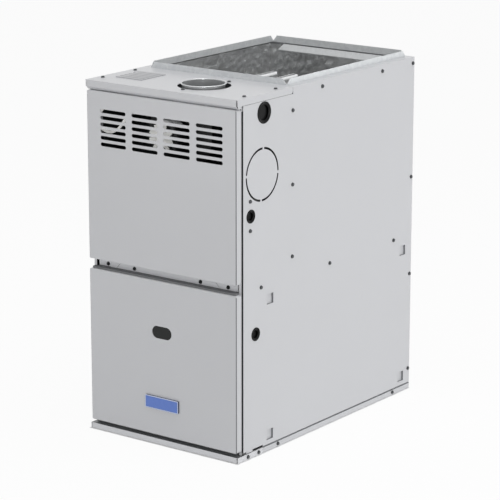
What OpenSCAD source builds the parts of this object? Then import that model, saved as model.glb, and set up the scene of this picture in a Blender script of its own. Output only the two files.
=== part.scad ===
// Forced air gas furnace: upflow cabinet, burners and induced draught above, blower below.
// X points right seen from the front, Y to the back, Z up. The floor is Z = 0.
// Inside place(), Y is the depth measured back from the face of the doors.

/* [Cabinet] */
// Width over the side panels
cab_w = 444.5; // [420:0.5:620]
// Depth from the door faces to the back panel
cab_d = 726; // [700:1:800]
// Height of the top plate above the floor
cab_h = 855; // [840:1:900]
// Thickness of the cabinet sheet steel
sheet = 1; // [0.8:0.1:1.2]
// Height of the blower deck above the floor
deck_z = 418; // [410:1:430]
// Depth of the burner room, to the vestibule panel
room_d = 219; // [212:1:230]
// Setback of the side panels behind the door faces
side_front = 22.5; // [20:0.5:26]
// Width of the inturned flange at the top of the side panels
top_flange_w = 20.2; // [16:0.1:26]
// Width of the inturned flange at the top of the back panel
back_flange_w = 10.5; // [8:0.5:16]

/* [Top plate] */
// Height of the lip that hangs down round the top plate
lip_h = 15.8; // [12:0.1:20]
// Depth and drop of the slanted return under the front lip
lip_return = 6.5; // [3:0.5:8]
// Depth that the side lips reach back to
lip_end = 212; // [190:1:213]
// Diameter of the clearance hole round the flue collar
flue_hole_d = 125; // [116:1:140]
// Flue hole centre, to the right of the middle
flue_x = 49; // [20:1:80]
// Flue hole centre, behind the door face
flue_y = 104; // [90:1:112]

/* [Slots] */
// Length of each louvre slot
slot_l = 76.5; // [60:0.5:84]
// Width of each louvre slot
slot_w = 8.8; // [6:0.1:11]
// Height from one slot row to the next
slot_pitch = 15.84; // [13:0.01:18]
// Distance from one slot column to the next
slot_column = 94.2; // [86:0.1:98]
// Slot rows
slot_rows = 6; // [3:1:7]
// Height of the top slot row below the top plate
slot_drop = 69.5; // [50:0.5:90]

/* [Doors] */
// Width of the doors
door_w = 438; // [410:0.5:610]
// Depth of the door pans
door_t = 18.7; // [16:0.1:18.8]
// Outside radius of the folded door edges
door_bend = 2.5; // [1.5:0.1:4]
// Radius of the door corners seen from the front
door_corner = 6; // [3:0.5:12]
// Gap between the upper door and the slanted return above it
upper_gap = 1.2; // [1:0.1:4]
// Height of the upper door's lower edge above the deck
upper_rise = 7; // [4:0.5:10]
// Drop of the lower door's upper edge below the deck
lower_drop = 17; // [15:0.5:22]
// Height of the lower door's lower edge above the floor
lower_foot = 22.5; // [20:0.5:30]
// Depth of the lower door's top flange, which reaches under the mid rail
tuck_d = 38; // [32:1:44]
// Width of the sight glass
sight_w = 58; // [50:1:70]
// Height of the sight glass
sight_h = 30; // [24:1:36]
// Height of the sight glass centre above the floor
sight_z = 277; // [250:1:300]
// Width of the badge
badge_w = 100; // [80:1:120]
// Height of the badge
badge_h = 32; // [26:1:40]
// Height that the badge stands proud of the door
badge_proud = 4; // [3:0.5:6]
// Height of the badge centre above the floor
badge_z = 103; // [80:1:130]

/* [Rails and base] */
// Height of the base rail and of the bottom strips
base_h = 13.5; // [12:0.5:16]
// Length of the base rail's side wraps
wrap_l = 98; // [80:1:120]
// Height of the mid rail's face
mid_rail_h = 26; // [22:1:30]
// Width of the bottom return opening
return_w = 356; // [300:1:370]
// Depth of the bottom return opening
return_d = 560; // [480:1:570]
// Height of the side return's embossed corners above the floor, to the lowest edge
mark_z = 27; // [24:1:34]
// Height of the side return opening between its embossed corners
mark_span_z = 355.6; // [330:0.1:360]
// Depth of the side return opening between its embossed corners
mark_span_y = 585; // [540:1:590]

/* [Supply opening] */
// Height of the duct flanges above the top plate
duct_h = 14.5; // [12:0.5:20]
// Slope of the duct flanges' ends, measured along the flange
duct_taper = 11.5; // [6:0.5:14]
// Thickness of the foil faced insulation
liner_t = 12; // [8:1:14]

/* [Side holes] */
// Diameter of the gas line's hole in the left side, in line with the valve
gas_hole_d = 44; // [36:1:50]
// Diameter of the gas line plug's rim
plug_d = 51; // [46:1:56]
// Diameter of the wiring plugs' rims
plug_small_d = 32; // [28:1:36]
// Outside diameter of the side vent knockout's slot
knock_d = 126; // [118:1:130]
// Width of the knockout slot
knock_slot = 5; // [2.5:0.1:6]

/* [Heat exchanger] */
// Distance from one heat exchanger cell to the next
cell_pitch = 63; // [62:0.5:66]
// Depth of the cells behind the vestibule panel
cell_l = 365; // [340:1:400]
// Radius of the burner ports
port_r = 19; // [16:0.5:20]

/* [Draught inducer] */
// Radius of the inducer wheel
inducer_r = 54; // [48:1:56]
// Width of the inducer housing, front to back
inducer_w = 62; // [56:1:64]
// Inside diameter of the flue collar
collar_bore = 100; // [96:0.5:101]
// Wall thickness of the flue collar
collar_wall = 0.8; // [0.6:0.1:1]
// Height of the flue collar's rim above the top plate
collar_rise = 7; // [5:0.5:12]

/* [Blower] */
// Radius of the blower wheel
wheel_r = 127; // [120:1:130]
// Width of the blower wheel
wheel_w = 203; // [180:1:206]
// Blades on the blower wheel
blade_n = 42; // [30:2:48]
// Diameter of the blower shaft
shaft_d = 12.7; // [10:0.1:14]
// Distance of the blower axis behind the door faces
blower_y = 360; // [345:1:370]
// Height of the blower axis above the floor
blower_z = 210; // [205:1:215]

/* [Hidden] */
$fn = 48;

// colours
paint = "#c4c6c8";
paint_top = "#e6e7e9";
galvanised = "#8f9496";
aluminised = "#b9bcbe";
dark = "#2b2d2e";

// outside planes
half_w = cab_w / 2;
wall_x = half_w - sheet;
front_y = -(cab_d - badge_proud) / 2;
inner_back = cab_d - sheet;
top_under = cab_h - sheet;
gap = 0.3;

// screws: flanged hex heads
head_af = 7;
head_h = 3;
washer_r = 4.8;
washer_h = 0.8;
shank_r = 1.8;
shank_l = 8;
shank_gap = 0.3;

// duct opening
duct_x = half_w - top_flange_w;
duct_front = room_d - 1.5;
duct_back = cab_d - back_flange_w;
leg = 16;

// channels beside the doors
channel_face = door_t + gap;
channel_in = 1.95;
channel_out = wall_x - channel_in;
channel_w = 7.5;
channel_top = cab_h - lip_h - 0.8;

// doors and rails
upper_z0 = deck_z + upper_rise;
upper_z1 = cab_h - lip_h - lip_return - upper_gap;
lower_z0 = lower_foot;
lower_z1 = deck_z - lower_drop;
rail_y = channel_face + 3.5;
rail_x = channel_out - channel_w - 5;
tuck_x = rail_x - 1;
rail_z0 = deck_z - 12.2;
flange_h = 27;
deck_screw_z = deck_z - 13.5;
strip_top = base_h + 1;
corner_seam = 2.2;
panel_foot = strip_top + 1.8;
notch_foot = base_h + 6.5;

// side panel screws: depths and heights of each row, measured from the edge that it follows
vest_screw_y = room_d - 7;
vest_screw_drop = [54.8, 229.8];
vest_screw_rise = 35;
flange_screw_y = [330, cab_d - 143];
flange_screw_drop = 16;
box_screw_y = 48;
box_screw_drop = [240, 308.7];
deck_screw_y = [89.6, 366, cab_d - 82.5];
back_screw_y = cab_d - 7.3;
back_screw_drop = [15.6, 302];
back_screw_z = [303, 53.5];
wrap_screw_y = [39.5, wrap_l - 17];
wrap_screw_z = 6.7;
strip_screw_y = [wrap_l + 59, cab_d - 77.4];
strip_screw_z = 7.1;
side_screws = concat(
    [for (d = vest_screw_drop) [vest_screw_y, cab_h - d]], [[vest_screw_y, deck_z + vest_screw_rise]],
    [for (y = flange_screw_y) [y, cab_h - flange_screw_drop]],
    [for (d = box_screw_drop) [box_screw_y, cab_h - d]],
    [for (y = deck_screw_y) [y, deck_screw_z]],
    [for (d = back_screw_drop) [back_screw_y, cab_h - d]],
    [for (z = back_screw_z) [back_screw_y, z]],
    [for (y = wrap_screw_y) [y, wrap_screw_z]],
    [for (y = strip_screw_y) [y, strip_screw_z]]);
plug_at = [101, cab_h - 42.8];
small_plug_at = [[50.3, cab_h - 275.2], [69.2, 297]];
knock_at = [94.4, cab_h - 185];
mark_side = 25;
mark_depth = 5;
mark_y = 113;
// the return openings' depths are given for a cabinet this deep, and grow with it
usual_d = 726;
mark_reach = mark_span_y + cab_d - usual_d;
pan_open_d = return_d + cab_d - usual_d;
return_marks = [for (i = [0, 1]) for (j = [0, 1])
    [mark_y + i * (mark_reach - mark_side), mark_z + j * (mark_span_z - mark_side)]];

// top plate screws: left and right, and round the flue
top_screw_y = [46, 165.5];
flue_screw_r = flue_hole_d / 2 + 9.5;
flue_screw_a = [75, 140, -95];

// rail screws
rail_screw_x = [-179, -98.5, 98.5, 179];
rail_screw_z = deck_z - 5.6;

// heat exchanger
cell_x = [for (i = [0:3]) (i - 1.5) * cell_pitch];
cell_z0 = deck_z + 22;
cell_z1 = cab_h - 50;
cell_gap = 22;
cell_bar = (cell_z1 - cell_z0 - 3 * cell_gap) / 4;
cell_t = [2 * port_r, 30, 21, 14];
cell_y0 = room_d + sheet;
cell_y1 = cell_y0 + cell_l;
burner_z = cell_z0 + cell_bar / 2;
outlet_z = cell_z1 - cell_bar / 2;
cell_port_l = cell_l - 90;
outlet_w = 8;
outlet_h = cell_bar - 22;
port_bore_r = port_r - 2;
cell_fin_t = 2.4;
cell_turn_l = 58;

// draught inducer
ind_x = flue_x - 73;
ind_z = cab_h - 122;
ind_y1 = room_d - 70;
ind_y0 = ind_y1 - inducer_w;
ind_shaft_r = 4;
ind_r0 = inducer_r + 8;
ind_r1 = inducer_r + 52;
ind_cut = 296;
ind_eye_r = inducer_r - 22;
ind_motor_r = 40;
ind_motor_l = 36;
collar_r = collar_bore / 2;
collar_base = cab_h - 48;
bead_r = 1.7;

// burners
box_x = 1.5 * cell_pitch + port_r + 16;
box_y = room_d - 100;
box_z0 = burner_z - 36;
box_z1 = burner_z + 36;
manifold_y = box_y - 16;
manifold_r = 10.5;
valve_x = -box_x - 44;
valve_x0 = valve_x - 30;
inlet_bore_r = 9.3;
inlet_bore_l = 24;

// blower
scroll_r0 = wheel_r + 13;
scroll_r1 = wheel_r + 65;
scroll_cut = 290;
scroll_x = wheel_w / 2 + 13.5;
cut_y = blower_y + scroll_r0 * cos(360 - scroll_cut);
out_y = blower_y + scroll_r1;
deck_under = deck_z - sheet;
shaft_r = shaft_d / 2;
motor_r = 62;
run = 0.05;

// ---------- shapes used again and again ----------
module place() translate([0, front_y, 0]) children();
module both() { children(); mirror([1, 0, 0]) children(); }
module block(x, y, z)
    translate([x[0], y[0], z[0]]) cube([x[1] - x[0], y[1] - y[0], z[1] - z[0]]);
module rod_x(x, y, z, r) translate([x[0], y, z]) rotate([0, 90, 0]) cylinder(r = r, h = x[1] - x[0]);
module rod_y(x, y, z, r) translate([x, y[0], z]) rotate([-90, 0, 0]) cylinder(r = r, h = y[1] - y[0]);
module rod_z(x, y, z, r) translate([x, y, z[0]]) cylinder(r = r, h = z[1] - z[0]);
// an outline of (Y, Z) points pushed along X, and one of (X, Z) points along Y
module along_x(x) translate([x[0], 0, 0]) rotate([90, 0, 90]) linear_extrude(x[1] - x[0]) children();
module along_y(y) translate([0, y[1], 0]) rotate([90, 0, 0]) linear_extrude(y[1] - y[0]) children();
module rounded(a, b, r) {
    translate([a[0] + r, a[1]]) square([b[0] - a[0] - 2 * r, b[1] - a[1]]);
    translate([a[0], a[1] + r]) square([b[0] - a[0], b[1] - a[1] - 2 * r]);
    for (x = [a[0] + r, b[0] - r]) for (y = [a[1] + r, b[1] - r]) translate([x, y]) circle(r);
}
// slot outline, longer one way than the other, with round ends
module stadium(w, h) {
    d = min(w, h);
    square([w > h ? w - h : w, h > w ? h - w : h], center = true);
    for (s = [-0.5, 0.5]) translate([s * (w - d), s * (h - d)]) circle(d / 2);
}
module screw_hole_x(at) both() rod_x([wall_x - 14, half_w + 1], at[0], at[1], shank_r + shank_gap);
module side_screw_holes() for (s = side_screws) screw_hole_x(s);
module hex_screw() {
    cylinder(r = washer_r, h = washer_h);
    difference() {
        cylinder(d = head_af / cos(30), h = head_h, $fn = 6);
        translate([-head_af, -0.4, head_h - 1]) cube([2 * head_af, 0.8, 1.1]);
    }
    translate([0, 0, -shank_l]) cylinder(r = shank_r, h = shank_l + 0.1);
}

// ---------- cabinet ----------
// one side panel, drawn for the right side; the vent knockout is cut in the right one alone
module side_panel() {
    low = channel_top;
    difference() {
        union() {
            along_x([wall_x, half_w]) polygon([
                [side_front + sheet / 2, notch_foot], [wrap_l + 1, notch_foot], [wrap_l + 1, panel_foot],
                [cab_d, panel_foot], [cab_d, cab_h], [lip_end + 6.3, cab_h], [lip_end + 6.3, top_under],
                [lip_end + 1, top_under], [lip_end + 1, low], [side_front + sheet / 2, low]]);
            rod_z(half_w - sheet / 2, side_front + sheet / 2, [notch_foot, low], sheet / 2);
            block([half_w - top_flange_w, half_w], [lip_end + 6.3, cab_d], [top_under, cab_h]);
            block([wall_x - sheet, wall_x], [side_front + 40, lip_end - 12], [low - 12, top_under]);
            for (m = return_marks) block([half_w - mark_depth - sheet, wall_x],
                [m[0] - sheet, m[0] + mark_side + sheet], [m[1] - sheet, m[1] + mark_side + sheet]);
        }
        for (m = return_marks) block([half_w - mark_depth, half_w + 1],
            [m[0], m[0] + mark_side], [m[1], m[1] + mark_side]);
        rod_x([wall_x - 3, half_w + 1], plug_at[0], plug_at[1], plug_d / 2 - 4);
        for (p = small_plug_at) rod_x([wall_x - 3, half_w + 1], p[0], p[1], plug_small_d / 2 - 3);
        side_screw_holes();
    }
}
module side_panel_right() color(paint) place() difference() {
    side_panel();
    translate([wall_x - 1, knock_at[0], knock_at[1]]) rotate([0, 90, 0]) difference() {
        cylinder(d = knock_d, h = sheet + 2);
        translate([0, 0, -1]) cylinder(d = knock_d - 2 * knock_slot, h = sheet + 4);
        for (a = [-4, 86, 176, 266]) rotate(a) translate([0, -3, -1]) cube([knock_d, 6, sheet + 4]);
    }
}
module side_panel_left() color(paint) place() difference() {
    mirror([1, 0, 0]) side_panel();
    rod_x([-half_w - 1, -wall_x + 1], manifold_y, burner_z, gas_hole_d / 2);
}

module back_panel() color(paint) place() difference() {
    union() {
        block([-wall_x, wall_x], [inner_back, cab_d], [panel_foot, top_under]);
        block([-duct_x, duct_x], [duct_back, cab_d], [top_under, cab_h]);
        both() block([wall_x - sheet, wall_x], [cab_d - 16, cab_d], [panel_foot + 22, top_under - 2]);
    }
    side_screw_holes();
}

module top_plate() color(paint_top) place() difference() {
    union() {
        block([-half_w, half_w], [0, duct_front], [top_under, cab_h]);
        along_x([-half_w + 3, half_w - 3]) polygon([
            [0, cab_h], [0, cab_h - lip_h], [lip_return, cab_h - lip_h - lip_return],
            [lip_return + 0.7 * sheet, cab_h - lip_h - lip_return + 0.7 * sheet],
            [sheet, cab_h - lip_h + 0.4 * sheet], [sheet, cab_h]]);
        both() along_x([wall_x, half_w]) {
            translate([1.6, cab_h - lip_h]) square([lip_end - 1.6 - 6, lip_h]);
            translate([1.6, cab_h - lip_h + 6]) square([lip_end - 1.6, lip_h - 6]);
            translate([lip_end - 6, cab_h - lip_h + 6]) circle(6);
        }
    }
    rod_z(flue_x, flue_y, [top_under - 1, cab_h + 1], flue_hole_d / 2);
    for (i = [0:5]) translate([-146, 72 + i * slot_pitch, top_under - 1])
        linear_extrude(sheet + 2) stadium(slot_l, slot_w);
    both() for (y = top_screw_y) rod_z(half_w - 15, y, [top_under - 1, cab_h + 1], shank_r + shank_gap);
    for (a = flue_screw_a) translate([flue_x + flue_screw_r * cos(a), flue_y + flue_screw_r * sin(a),
        top_under - 1]) cylinder(r = shank_r + shank_gap, h = sheet + 2);
}

// one duct flange: foot leg below the cabinet's flange, tapered upright; half its base length is b
module duct_flange(b) {
    along_y([0, sheet]) polygon([
        [-b, top_under - sheet], [b, top_under - sheet], [b, cab_h], [b - duct_taper, cab_h + duct_h],
        [duct_taper - b, cab_h + duct_h], [-b, cab_h]]);
    block([18 - b, b - 18], [-leg, 0.5], [top_under - sheet, top_under]);
}
module duct_flange_front() color(galvanised) place()
    translate([0, duct_front, 0]) duct_flange(duct_x - sheet);
module duct_flange_back() color(galvanised) place()
    translate([0, duct_back, 0]) mirror([0, 1, 0]) difference() {
        duct_flange(duct_x - sheet);
        block([-cab_w, cab_w], [-leg - 1, -back_flange_w + 1.5], [0, cab_h + 1]);
    }
module duct_flange_side() difference() {
    translate([duct_x, (duct_front + duct_back) / 2, 0]) rotate(90)
        duct_flange((duct_back - duct_front) / 2);
    side_screw_holes();
}
module duct_flange_right() color(galvanised) place() duct_flange_side();
module duct_flange_left() color(galvanised) place() mirror([1, 0, 0]) duct_flange_side();

// folded channel that closes the cabinet's front edge beside the doors
module door_channel() difference() {
    o = channel_out;
    f = channel_face;
    w = wall_x - sheet;
    translate([0, 0, base_h + 1.5]) linear_extrude(channel_top - 14 - base_h) polygon([
        [o - channel_w, f], [o, f], [o, f + 16], [wall_x, f + 16], [wall_x, f + 40], [w, f + 40],
        [w, f + 16 + sheet], [o - sheet, f + 16 + sheet], [o - sheet, f + sheet],
        [o - channel_w + sheet, f + sheet], [o - channel_w + sheet, f + 8], [o - channel_w, f + 8]]);
    side_screw_holes();
    for (p = concat([plug_at], small_plug_at))
        rod_x([w - 4, wall_x + 1], p[0], p[1], (p == plug_at ? plug_d : plug_small_d) / 2 + 1);
    translate([w - 4, knock_at[0], knock_at[1]]) rotate([0, 90, 0]) cylinder(d = knock_d + 2, h = 8);
}
module door_channel_right() color(paint) place() door_channel();
module door_channel_left() color(paint) place() mirror([1, 0, 0]) door_channel();

module mid_rail() color(paint) place() difference() {
    union() {
        block([-rail_x, rail_x], [rail_y, rail_y + sheet], [rail_z0, rail_z0 + mid_rail_h]);
        block([-rail_x, rail_x], [rail_y, rail_y + 12], [rail_z0, rail_z0 + sheet]);
        block([-rail_x, rail_x], [rail_y, rail_y + 12],
            [rail_z0 + mid_rail_h - sheet, rail_z0 + mid_rail_h]);
    }
    for (x = rail_screw_x) rod_y(x, [rail_y - 1, rail_y + 4], rail_screw_z, shank_r + shank_gap);
    both() along_y([rail_y - 1, rail_y + sheet + 1]) polygon([
        [154, rail_z0 - 1], [155.4, rail_z0 - 1], [143.4, rail_z0 + 12], [142, rail_z0 + 12]]);
}

module base_rail() color(paint) place() difference() {
    union() {
        along_x([corner_seam - wall_x, wall_x - corner_seam]) polygon([
            [0.6, 0], [0, 0.6], [0, base_h - 0.6], [0.6, base_h], [sheet + 0.4, base_h - sheet],
            [sheet, base_h - sheet], [sheet, sheet], [30, sheet], [30, 0]]);
        block([-half_w + 0.2, half_w - 0.2], [0.5, 22], [base_h - sheet, base_h]);
        block([-rail_x, rail_x], [rail_y - 1.5, rail_y - 1.5 + sheet], [base_h - sheet, base_h + 16]);
        both() {
            block([wall_x, half_w], [0.6, wrap_l], [0, base_h]);
            block([channel_out - 0.5, half_w], [0.6, wrap_l], [base_h - sheet, base_h]);
            block([wall_x - corner_seam - 4, half_w], [0.6, wrap_l], [0, sheet]);
        }
    }
    side_screw_holes();
}

module base_pan() color(paint) place() {
    y0 = wrap_l + 0.6;
    open_y = y0 + 18;
    z1 = mark_z - 2;
    step = [[wall_x - 20, 0], [half_w, 0], [half_w, strip_top], [wall_x, strip_top],
        [wall_x, z1], [wall_x - sheet, z1], [wall_x - sheet, strip_top - sheet],
        [wall_x, strip_top - sheet], [wall_x, sheet], [wall_x - 20, sheet]];
    difference() {
        union() {
            both() along_y([y0, inner_back]) polygon(step);
            block([-half_w, half_w], [inner_back, cab_d], [0, strip_top]);
            block([-wall_x + 2, wall_x - 2], [inner_back - sheet, inner_back], [strip_top - sheet, z1]);
            block([-wall_x + 2, wall_x - 2], [inner_back - sheet, cab_d], [strip_top - sheet, strip_top]);
            difference() {
                block([-wall_x, wall_x], [y0, inner_back], [0, sheet]);
                block([-return_w / 2, return_w / 2], [open_y, open_y + pan_open_d], [-1, sheet + 1]);
            }
            for (x = [-return_w / 2 - sheet, return_w / 2])
                block([x, x + sheet], [open_y, open_y + pan_open_d], [0, 8]);
        }
        side_screw_holes();
    }
}

module blower_deck() color(galvanised) place() difference() {
    union() {
        block([-wall_x, wall_x], [rail_y + sheet, inner_back], [deck_under, deck_z]);
        block([-rail_x, rail_x], [rail_y + sheet, rail_y + 2 * sheet], [rail_z0 + sheet, deck_z]);
        both() block([wall_x - sheet, wall_x], [channel_face + 44, cab_d - 20], [deck_z - flange_h, deck_z]);
        block([-wall_x + 4, wall_x - 4], [inner_back - sheet, inner_back], [deck_z - flange_h, deck_z]);
    }
    both() block([channel_out - channel_w - 1, wall_x + 1], [0, channel_face + 40.5],
        [deck_under - 1, deck_z + 1]);
    both() block([wall_x - sheet - 0.2, wall_x + 1], [cab_d - 16.5, cab_d], [deck_under - 1, deck_z + 1]);
    block([-scroll_x, scroll_x], [cut_y, out_y], [deck_under - 1, deck_z + 1]);
    for (x = rail_screw_x) rod_y(x, [rail_y - 1, rail_y + 4], rail_screw_z, shank_r + shank_gap);
    side_screw_holes();
}

module vestibule_panel() color(galvanised) place() difference() {
    union() {
        block([-wall_x, wall_x], [room_d, room_d + sheet], [deck_z, top_under - sheet]);
        both() block([wall_x - sheet, wall_x], [room_d - 17, room_d + sheet], [deck_z, top_under - 24]);
        block([-wall_x + 4, wall_x - 4], [room_d - 14, room_d + sheet],
            [top_under - 2 * sheet, top_under - sheet]);
        block([-wall_x + 4, wall_x - 4], [room_d - 14, room_d + sheet], [deck_z, deck_z + sheet]);
    }
    for (x = cell_x) {
        rod_y(x, [room_d - 1, room_d + sheet + 1], burner_z, port_bore_r);
        translate([x, 0, outlet_z]) along_y([room_d - 1, room_d + sheet + 1]) stadium(outlet_w, outlet_h);
    }
    side_screw_holes();
}

// ---------- supply opening ----------
module foil_liner() color("#8b8c8d") place() difference() {
    x = wall_x - sheet - gap;
    block([-x, x], [room_d + 2, inner_back - sheet - gap], [deck_z + gap, cab_h - 6.4 - gap]);
    block([liner_t - wall_x, wall_x - liner_t], [room_d, inner_back - liner_t], [deck_z - 1, cab_h]);
    side_screw_holes();
}

module rear_baffle() color("#b5b7b9") place() {
    y = inner_back - liner_t;
    z = cab_h - 5;
    intersection() {
        along_x([-duct_x + 24, duct_x - 24]) polygon([
            [y + liner_t, z], [y, z], [y - 11, z - 14], [y - 11, z - 17], [y - 9.6, z - 17],
            [y - 9.6, z - 14.6], [y - 0.3, z - sheet - 0.4], [y + liner_t, z - sheet]]);
        along_y([y - 20, y + 20]) polygon([
            [22 - duct_x, z - 18], [duct_x - 22, z - 18], [duct_x - 36, z + 1], [36 - duct_x, z + 1]]);
    }
}

// ---------- heat exchanger: stamped cells with four passes, narrower towards the outlet ----------
// plan of a pass: as wide as the cell is there, with a round far end
module pass_plan(t, y) {
    translate([-t / 2, y[0]]) square([t, y[1] - y[0] - t / 2]);
    translate([0, y[1] - t / 2]) circle(t / 2);
}
module heat_pass(i) {
    t = cell_t[i];
    z = cell_z0 + i * (cell_bar + cell_gap);
    y0 = cell_y0 + (i == 0 || i == 3 ? 0 : 14);
    intersection() {
        along_y([y0, cell_y1]) translate([0, z + cell_bar / 2]) stadium(t, cell_bar);
        translate([0, 0, z - 1]) linear_extrude(cell_bar + 2) pass_plan(t, [y0, cell_y1 - 4]);
    }
}
// upright part that joins pass i to the one above it
module heat_turn(i) {
    t = (cell_t[i] + cell_t[i + 1]) / 2;
    z = cell_z0 + i * (cell_bar + cell_gap) + cell_bar / 2;
    y0 = i == 1 ? cell_y0 + 15 : cell_y1 - cell_turn_l - 7;
    translate([0, 0, z]) linear_extrude(cell_bar + cell_gap) {
        translate([0, y0 + t / 2]) circle(t / 2);
        translate([-t / 2, y0 + t / 2]) square([t, cell_turn_l - t]);
        translate([0, y0 + cell_turn_l - t / 2]) circle(t / 2);
    }
}
module heat_cells() color(aluminised) place() for (x = cell_x) translate([x, 0, 0]) difference() {
    union() {
        along_x([-cell_fin_t / 2, cell_fin_t / 2])
            rounded([cell_y0, cell_z0 - 4], [cell_y1, cell_z1 + 3], 16);
        for (i = [0:3]) heat_pass(i);
        for (i = [0:2]) heat_turn(i);
    }
    rod_y(0, [cell_y0 - 1, cell_y0 + cell_port_l], burner_z, port_bore_r);
    translate([0, 0, outlet_z]) along_y([cell_y0 - 1, cell_y0 + cell_port_l]) stadium(outlet_w, outlet_h);
}

module collector_box() color(galvanised) place() {
    x = 1.5 * cell_pitch + 22;
    z0 = ind_z - 46;
    z1 = outlet_z + cell_bar / 2 - 6;
    difference() {
        union() {
            block([-x, x], [ind_y1, room_d], [z0, z1]);
            block([-x - 10, x + 10], [room_d - sheet, room_d], [z0 - 8, z1 + 8]);
        }
        block([sheet - x, x - sheet], [ind_y1 + sheet, room_d + 1], [z0 + sheet, z1 - sheet]);
        rod_y(ind_x, [ind_y1 - 1, ind_y1 + 4], ind_z, ind_eye_r);
    }
}

// ---------- draught inducer ----------
// spiral radius at angle a, from the outlet side round below to the cut-off
function spiral(a, r0, r1, cut) = r1 - (r1 - r0) * a / cut;
// spiral outline in its own plane, opening upwards at the right; t widens it, top is the outlet's height
function spiral_points(r0, r1, cut, t, top) = let (x = r0 * cos(cut) - t) concat(
    [for (a = [0:10:cut - 10]) let (r = spiral(a, r0, r1, cut) + t) [r * cos(-a), r * sin(-a)]],
    [[x, sqrt(pow(r0 + t, 2) - x * x)], [x, top], [r1 + t, top]]);

// the hose port on the housing's left, above its middle
hose_port = [ind_x - 78, ind_y0 + 20, ind_z + 40];
hose_port_r = 3.4;
module inducer_housing() color(galvanised) place() {
    top = collar_base - ind_z;
    t = 1.2;
    difference() {
        union() {
            translate([ind_x, 0, ind_z]) along_y([ind_y0, ind_y1])
                polygon(spiral_points(ind_r0, ind_r1, ind_cut, t, top));
            translate([ind_x, 0, ind_z]) along_y([ind_y1 - 2, ind_y1])
                polygon(spiral_points(ind_r0, ind_r1, ind_cut, t + 7, top - 12));
            rod_z(flue_x - 2, flue_y, [collar_base - 6, collar_base], collar_r + 9);
            rod_x([hose_port[0], hose_port[0] + 16], hose_port[1], hose_port[2], hose_port_r);
        }
        translate([ind_x, 0, ind_z]) along_y([ind_y0 + t, ind_y1 - t])
            polygon(spiral_points(ind_r0, ind_r1, ind_cut, 0, top - 6));
        rod_z(flue_x - 2, flue_y, [collar_base - 3, collar_base + 1], collar_r + collar_wall + 0.2);
        intersection() {
            rod_z(flue_x - 2, flue_y, [collar_base - 7, collar_base + 1], collar_r - 4);
            block([ind_x, ind_x + ind_r1], [ind_y0 + t, ind_y1 - t], [collar_base - 8, collar_base + 2]);
        }
        rod_y(ind_x, [ind_y1 - 3, ind_y1 + 1], ind_z, ind_eye_r);
        rod_y(ind_x, [ind_y0 - 1, ind_y0 + 3], ind_z, ind_shaft_r + 3);
    }
}

module inducer_wheel() color("#9a9c9e") place() translate([ind_x, ind_y0 + 12, ind_z]) rotate([-90, 0, 0]) {
    difference() {
        union() {
            cylinder(r = inducer_r, h = 1.5);
            cylinder(r = 11, h = 18);
            translate([0, 0, 30]) difference() {
                cylinder(r = inducer_r, h = 1.5);
                translate([0, 0, -1]) cylinder(r = inducer_r - 18, h = 4);
            }
            for (i = [0:17]) rotate(i * 20) translate([inducer_r - 17, 0, 1])
                rotate(-32) translate([-6, -0.6, 0]) cube([20, 1.2, 29.5]);
        }
        translate([0, 0, -1]) cylinder(r = ind_shaft_r, h = 30);
        difference() {
            translate([0, 0, -1]) cylinder(r = inducer_r + 20, h = 40);
            translate([0, 0, -2]) cylinder(r = inducer_r, h = 42);
        }
    }
}

module inducer_shaft() color("#c9cbcd") place()
    rod_y(ind_x, [ind_y0 - 58, ind_y0 + 30], ind_z, ind_shaft_r);

module inducer_motor() color("#3c3f41") place() difference() {
    y1 = ind_y0 - 8;
    y0 = y1 - ind_motor_l;
    leg_at = ind_motor_r - 6;
    union() {
        rod_y(ind_x, [y0, y1], ind_z, ind_motor_r);
        rod_y(ind_x, [y0 - 5, y1 + 5], ind_z, ind_motor_r - 10);
        for (a = [45, 135, 225, 315])
            rod_y(ind_x + leg_at * cos(a), [y1 - 2, ind_y0], ind_z + leg_at * sin(a), 3.5);
        for (i = [0:5]) rod_y(ind_x, [y0 + 2 + i * 6, y0 + 4.6 + i * 6], ind_z, ind_motor_r + 2);
    }
    rod_y(ind_x, [y0 - 16, ind_y0 + 1], ind_z, ind_shaft_r + run);
}

module inducer_fan() color("#d8d8d4") place() translate([ind_x, ind_y0 - 57, ind_z]) rotate([-90, 0, 0])
    difference() {
        union() {
            cylinder(r = 10, h = 7);
            for (i = [0:8]) rotate(i * 40) translate([8, -1, 0]) rotate([24, 0, 0]) cube([26, 12, 1.4]);
        }
        translate([0, 0, -1]) cylinder(r = ind_shaft_r, h = 20);
        translate([-50, -50, 7]) cube([100, 100, 20]);
        translate([-50, -50, -20]) cube([100, 100, 20]);
    }

module flue_collar() color("#c9cbcc") place() translate([flue_x - 2, flue_y, 0]) {
    o = collar_r + collar_wall;
    z0 = collar_base - 3;
    z1 = cab_h + collar_rise;
    rotate_extrude() {
        translate([collar_r, z0]) square([collar_wall, z1 - z0 - bead_r]);
        translate([collar_r + bead_r, z1 - bead_r]) circle(bead_r);
        translate([o, collar_base]) square([6, 0.8]);
    }
}

// ---------- burners and gas train ----------
module burner_box() color(galvanised) place() difference() {
    union() {
        difference() {
            block([-box_x, box_x], [box_y, room_d], [box_z0, box_z1]);
            block([sheet - box_x, box_x - sheet], [box_y - 1, room_d + 1], [box_z0 + sheet, box_z1 - sheet]);
        }
        block([-box_x, box_x], [room_d - 28, room_d - 28 + sheet], [box_z0, box_z1]);
        for (z = [[box_z0 - 9, box_z0 + sheet], [box_z1 - sheet, box_z1 + 9]])
            block([-box_x, box_x], [room_d - sheet, room_d], z);
    }
    for (x = cell_x) rod_y(x, [room_d - 30, room_d - 20], burner_z, 14 + gap);
    both() rod_x([box_x - 3, box_x + 1], room_d - 13, burner_z, 3.4);
    both() rod_z(box_x / 2, room_d - 60, [box_z1 - 3, box_z1 + 1], 5);
}

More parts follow.
